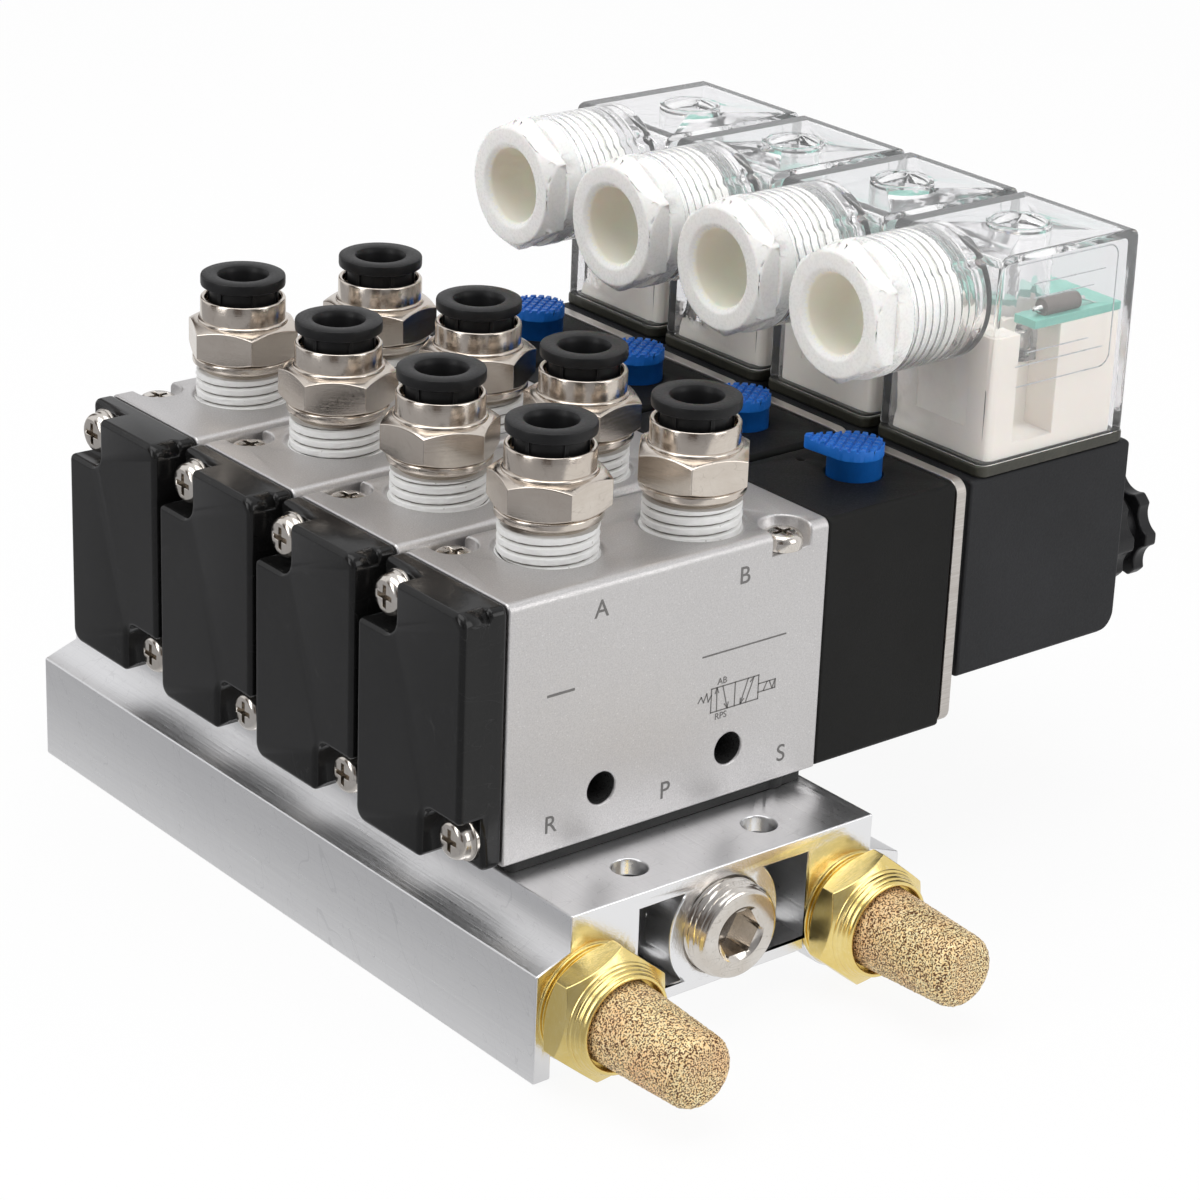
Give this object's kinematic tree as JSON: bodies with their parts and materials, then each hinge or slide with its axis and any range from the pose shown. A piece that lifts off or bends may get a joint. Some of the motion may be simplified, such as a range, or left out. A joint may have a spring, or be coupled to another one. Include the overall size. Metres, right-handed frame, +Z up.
{
  "type": "solenoid valve manifold",
  "caption": "Row of pilot solenoid valves on an aluminium manifold, with push-in tube fittings, exhaust silencers and clear plug-in connectors.",
  "frame": {"origin": "under the centre of the outer box, in the plane of the manifold's feet", "axes": "+X along each valve from its end cap to its solenoid, +Y along the row away from the silencers, +Z up"},
  "size_m": [0.1258, 0.1422, 0.0919],
  "materials": {
    "anodised_aluminium": "brushed along the extrusion, polished at the sawn ends",
    "blasted_aluminium": "fine blasted, satin silver",
    "black_cap_plastic": "glossy black moulding",
    "black_pilot_plastic": "fine textured black moulding",
    "coil_resin": "matt black moulding",
    "knob_black": "semi-matt black moulding",
    "ring_black": "smooth black moulding",
    "gasket_rubber": "matt black rubber",
    "seal_rubber": "dark rubber, slightly shiny",
    "tube_seal_rubber": "black rubber",
    "gland_rubber": "ivory rubber",
    "plated_steel": "zinc plated, sheared edges",
    "screw_steel": "bright nickel plate",
    "spring_steel": "drawn wire",
    "nickel_plate": "warm nickel plate on brass",
    "silencer_brass": "turned brass, some tool marks",
    "sintered_bronze": "grainy sintered bronze",
    "clear_polycarbonate": "clear, moulded",
    "ivory_plastic": "ivory moulding",
    "white_nylon": "translucent white nylon",
    "board_green": "light green glass fibre board with one small part on bent leads",
    "button_blue": "blue moulding with a ribbed top",
    "spool_alloy": "ground, with bonded seal lands",
    "armature_steel": "ground magnetic steel"
  },
  "bodies": {
    "valve_row": {"manifold": "anodised_aluminium", "port_plugs": "nickel_plate", "silencer_bodies": "silencer_brass", "silencer_elements": "sintered_bronze", "valve_gaskets": "gasket_rubber", "valve_body_1": "blasted_aluminium", "valve_body_2": "blasted_aluminium", "valve_body_3": "blasted_aluminium", "valve_body_4": "blasted_aluminium", "end_caps": "black_cap_plastic", "cap_screws": "screw_steel", "body_screws": "screw_steel", "return_springs": "spring_steel", "pilot_blocks": "black_pilot_plastic", "pilot_screws": "screw_steel", "yoke_plates": "plated_steel", "armature_tubes": "armature_steel", "solenoid_coil_1": "coil_resin", "solenoid_coil_2": "coil_resin", "solenoid_coil_3": "coil_resin", "solenoid_coil_4": "coil_resin", "connector_seals": "seal_rubber", "connector_bases": "ivory_plastic", "circuit_boards": "board_green", "connector_screws": "screw_steel", "connector_cover_1": "clear_polycarbonate", "connector_cover_2": "clear_polycarbonate", "connector_cover_3": "clear_polycarbonate", "connector_cover_4": "clear_polycarbonate", "gland_seals": "gland_rubber", "fitting_bodies": "nickel_plate", "tube_seals": "tube_seal_rubber"},
    "override_body_1": {"override_1": "button_blue"},
    "override_body_2": {"override_2": "button_blue"},
    "override_body_3": {"override_3": "button_blue"},
    "override_body_4": {"override_4": "button_blue"},
    "spool_body_1": {"spool_1": "spool_alloy"},
    "spool_body_2": {"spool_2": "spool_alloy"},
    "spool_body_3": {"spool_3": "spool_alloy"},
    "spool_body_4": {"spool_4": "spool_alloy"},
    "armature_body_1": {"armature_1": "armature_steel"},
    "armature_body_2": {"armature_2": "armature_steel"},
    "armature_body_3": {"armature_3": "armature_steel"},
    "armature_body_4": {"armature_4": "armature_steel"},
    "coil_nut_body_1": {"coil_nut_1": "knob_black"},
    "coil_nut_body_2": {"coil_nut_2": "knob_black"},
    "coil_nut_body_3": {"coil_nut_3": "knob_black"},
    "coil_nut_body_4": {"coil_nut_4": "knob_black"},
    "gland_nut_body_1": {"gland_nut_1": "white_nylon"},
    "gland_nut_body_2": {"gland_nut_2": "white_nylon"},
    "gland_nut_body_3": {"gland_nut_3": "white_nylon"},
    "gland_nut_body_4": {"gland_nut_4": "white_nylon"},
    "release_body_a1": {"release_ring_a1": "ring_black"},
    "release_body_a2": {"release_ring_a2": "ring_black"},
    "release_body_a3": {"release_ring_a3": "ring_black"},
    "release_body_a4": {"release_ring_a4": "ring_black"},
    "release_body_b1": {"release_ring_b1": "ring_black"},
    "release_body_b2": {"release_ring_b2": "ring_black"},
    "release_body_b3": {"release_ring_b3": "ring_black"},
    "release_body_b4": {"release_ring_b4": "ring_black"}
  },
  "joints": [
    {"name": "override_press_1", "type": "slide", "parent": "valve_row", "child": "override_body_1", "axis": [0, 0, -1], "range_m": [0, 0.0015], "stiffness_N_per_m": 300, "springref_m": -0.0004},
    {"name": "override_press_2", "type": "slide", "parent": "valve_row", "child": "override_body_2", "axis": [0, 0, -1], "range_m": [0, 0.0015], "stiffness_N_per_m": 300, "springref_m": -0.0004},
    {"name": "override_press_3", "type": "slide", "parent": "valve_row", "child": "override_body_3", "axis": [0, 0, -1], "range_m": [0, 0.0015], "stiffness_N_per_m": 300, "springref_m": -0.0004},
    {"name": "override_press_4", "type": "slide", "parent": "valve_row", "child": "override_body_4", "axis": [0, 0, -1], "range_m": [0, 0.0015], "stiffness_N_per_m": 300, "springref_m": -0.0004},
    {"name": "spool_shift_1", "type": "slide", "parent": "valve_row", "child": "spool_body_1", "axis": [-1, 0, 0], "range_m": [0, 0.003], "stiffness_N_per_m": 400, "springref_m": -0.001},
    {"name": "spool_shift_2", "type": "slide", "parent": "valve_row", "child": "spool_body_2", "axis": [-1, 0, 0], "range_m": [0, 0.003], "stiffness_N_per_m": 400, "springref_m": -0.001},
    {"name": "spool_shift_3", "type": "slide", "parent": "valve_row", "child": "spool_body_3", "axis": [-1, 0, 0], "range_m": [0, 0.003], "stiffness_N_per_m": 400, "springref_m": -0.001},
    {"name": "spool_shift_4", "type": "slide", "parent": "valve_row", "child": "spool_body_4", "axis": [-1, 0, 0], "range_m": [0, 0.003], "stiffness_N_per_m": 400, "springref_m": -0.001},
    {"name": "armature_pull_1", "type": "slide", "parent": "valve_row", "child": "armature_body_1", "axis": [1, 0, 0], "range_m": [0, 0.0008], "stiffness_N_per_m": 400, "springref_m": -0.0005},
    {"name": "armature_pull_2", "type": "slide", "parent": "valve_row", "child": "armature_body_2", "axis": [1, 0, 0], "range_m": [0, 0.0008], "stiffness_N_per_m": 400, "springref_m": -0.0005},
    {"name": "armature_pull_3", "type": "slide", "parent": "valve_row", "child": "armature_body_3", "axis": [1, 0, 0], "range_m": [0, 0.0008], "stiffness_N_per_m": 400, "springref_m": -0.0005},
    {"name": "armature_pull_4", "type": "slide", "parent": "valve_row", "child": "armature_body_4", "axis": [1, 0, 0], "range_m": [0, 0.0008], "stiffness_N_per_m": 400, "springref_m": -0.0005},
    {"name": "coil_nut_turn_1", "type": "hinge", "parent": "valve_row", "child": "coil_nut_body_1", "pos_m": [0.0525, -0.02505, 0.0403], "axis": [1, 0, 0], "continuous": true},
    {"name": "coil_nut_turn_2", "type": "hinge", "parent": "valve_row", "child": "coil_nut_body_2", "pos_m": [0.0525, -0.00205, 0.0403], "axis": [1, 0, 0], "continuous": true},
    {"name": "coil_nut_turn_3", "type": "hinge", "parent": "valve_row", "child": "coil_nut_body_3", "pos_m": [0.0525, 0.02095, 0.0403], "axis": [1, 0, 0], "continuous": true},
    {"name": "coil_nut_turn_4", "type": "hinge", "parent": "valve_row", "child": "coil_nut_body_4", "pos_m": [0.0525, 0.04395, 0.0403], "axis": [1, 0, 0], "continuous": true},
    {"name": "gland_nut_turn_1", "type": "hinge", "parent": "valve_row", "child": "gland_nut_body_1", "pos_m": [0.0105, -0.02505, 0.082], "axis": [-1, 0, 0], "continuous": true},
    {"name": "gland_nut_turn_2", "type": "hinge", "parent": "valve_row", "child": "gland_nut_body_2", "pos_m": [0.0105, -0.00205, 0.082], "axis": [-1, 0, 0], "continuous": true},
    {"name": "gland_nut_turn_3", "type": "hinge", "parent": "valve_row", "child": "gland_nut_body_3", "pos_m": [0.0105, 0.02095, 0.082], "axis": [-1, 0, 0], "continuous": true},
    {"name": "gland_nut_turn_4", "type": "hinge", "parent": "valve_row", "child": "gland_nut_body_4", "pos_m": [0.0105, 0.04395, 0.082], "axis": [-1, 0, 0], "continuous": true},
    {"name": "release_press_a1", "type": "slide", "parent": "valve_row", "child": "release_body_a1", "axis": [0, 0, -1], "range_m": [0, 0.0012], "stiffness_N_per_m": 200, "springref_m": -0.0004},
    {"name": "release_press_a2", "type": "slide", "parent": "valve_row", "child": "release_body_a2", "axis": [0, 0, -1], "range_m": [0, 0.0012], "stiffness_N_per_m": 200, "springref_m": -0.0004},
    {"name": "release_press_a3", "type": "slide", "parent": "valve_row", "child": "release_body_a3", "axis": [0, 0, -1], "range_m": [0, 0.0012], "stiffness_N_per_m": 200, "springref_m": -0.0004},
    {"name": "release_press_a4", "type": "slide", "parent": "valve_row", "child": "release_body_a4", "axis": [0, 0, -1], "range_m": [0, 0.0012], "stiffness_N_per_m": 200, "springref_m": -0.0004},
    {"name": "release_press_b1", "type": "slide", "parent": "valve_row", "child": "release_body_b1", "axis": [0, 0, -1], "range_m": [0, 0.0012], "stiffness_N_per_m": 200, "springref_m": -0.0004},
    {"name": "release_press_b2", "type": "slide", "parent": "valve_row", "child": "release_body_b2", "axis": [0, 0, -1], "range_m": [0, 0.0012], "stiffness_N_per_m": 200, "springref_m": -0.0004},
    {"name": "release_press_b3", "type": "slide", "parent": "valve_row", "child": "release_body_b3", "axis": [0, 0, -1], "range_m": [0, 0.0012], "stiffness_N_per_m": 200, "springref_m": -0.0004},
    {"name": "release_press_b4", "type": "slide", "parent": "valve_row", "child": "release_body_b4", "axis": [0, 0, -1], "range_m": [0, 0.0012], "stiffness_N_per_m": 200, "springref_m": -0.0004}
  ]
}
